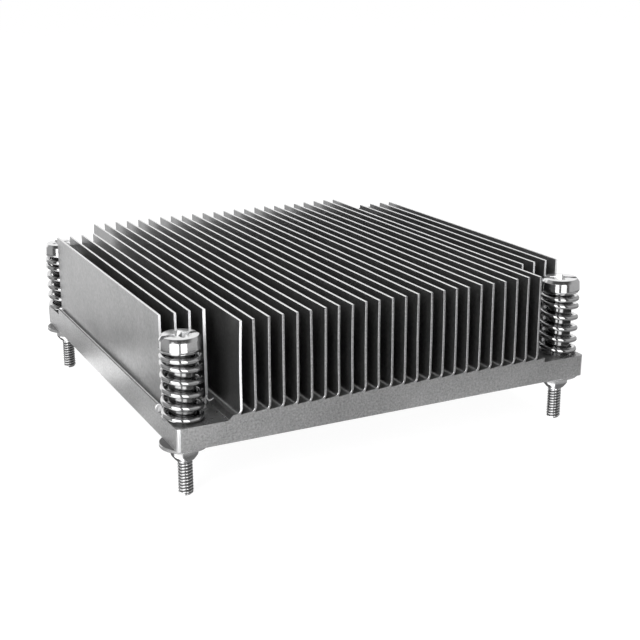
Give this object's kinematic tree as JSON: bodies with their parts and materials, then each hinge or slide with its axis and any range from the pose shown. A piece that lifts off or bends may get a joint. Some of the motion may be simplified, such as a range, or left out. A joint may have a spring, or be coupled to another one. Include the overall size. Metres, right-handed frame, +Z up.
{
  "type": "skived fin heat sink",
  "caption": "Square skived fin heat sink, thin upright fins on one base plate, with sprung captive shoulder screws and retaining rings in its corner pockets.",
  "frame": {"origin": "centre of the underside of the base plate, the face that meets the chip", "axes": "+Z up along the fins' height and the screws' axes, +X across the fins, Y along the fins"},
  "size_m": [0.093, 0.09, 0.0333],
  "materials": {
    "skived_aluminium": "bare, satin, bright where cut",
    "plated_screw": "bright nickel plate",
    "plated_spring": "bright nickel plate",
    "ring_steel": "bright spring steel"
  },
  "bodies": {
    "heat_sink": {"skived_heat_sink": "skived_aluminium", "spring_front_left": "plated_spring", "spring_front_right": "plated_spring", "spring_back_left": "plated_spring", "spring_back_right": "plated_spring"},
    "ring_front_left": {"retaining_ring_front_left": "ring_steel"},
    "screw_front_left": {"shoulder_screw_front_left": "plated_screw"},
    "ring_front_right": {"retaining_ring_front_right": "ring_steel"},
    "screw_front_right": {"shoulder_screw_front_right": "plated_screw"},
    "ring_back_left": {"retaining_ring_back_left": "ring_steel"},
    "screw_back_left": {"shoulder_screw_back_left": "plated_screw"},
    "ring_back_right": {"retaining_ring_back_right": "ring_steel"},
    "screw_back_right": {"shoulder_screw_back_right": "plated_screw"}
  },
  "joints": [
    {"name": "press_front_left", "type": "slide", "parent": "heat_sink", "child": "ring_front_left", "axis": [0, 0, -1], "range_m": [0, 0.005], "stiffness_N_per_m": 9800, "deforming": ["spring_front_left"]},
    {"name": "turn_front_left", "type": "hinge", "parent": "ring_front_left", "child": "screw_front_left", "pos_m": [-0.0419, -0.04, 0], "axis": [0, 0, 1], "continuous": true},
    {"name": "press_front_right", "type": "slide", "parent": "heat_sink", "child": "ring_front_right", "axis": [0, 0, -1], "range_m": [0, 0.005], "stiffness_N_per_m": 9800, "deforming": ["spring_front_right"]},
    {"name": "turn_front_right", "type": "hinge", "parent": "ring_front_right", "child": "screw_front_right", "pos_m": [0.0419, -0.04, 0], "axis": [0, 0, 1], "continuous": true},
    {"name": "press_back_left", "type": "slide", "parent": "heat_sink", "child": "ring_back_left", "axis": [0, 0, -1], "range_m": [0, 0.005], "stiffness_N_per_m": 9800, "deforming": ["spring_back_left"]},
    {"name": "turn_back_left", "type": "hinge", "parent": "ring_back_left", "child": "screw_back_left", "pos_m": [-0.0419, 0.04, 0], "axis": [0, 0, 1], "continuous": true},
    {"name": "press_back_right", "type": "slide", "parent": "heat_sink", "child": "ring_back_right", "axis": [0, 0, -1], "range_m": [0, 0.005], "stiffness_N_per_m": 9800, "deforming": ["spring_back_right"]},
    {"name": "turn_back_right", "type": "hinge", "parent": "ring_back_right", "child": "screw_back_right", "pos_m": [0.0419, 0.04, 0], "axis": [0, 0, 1], "continuous": true}
  ]
}
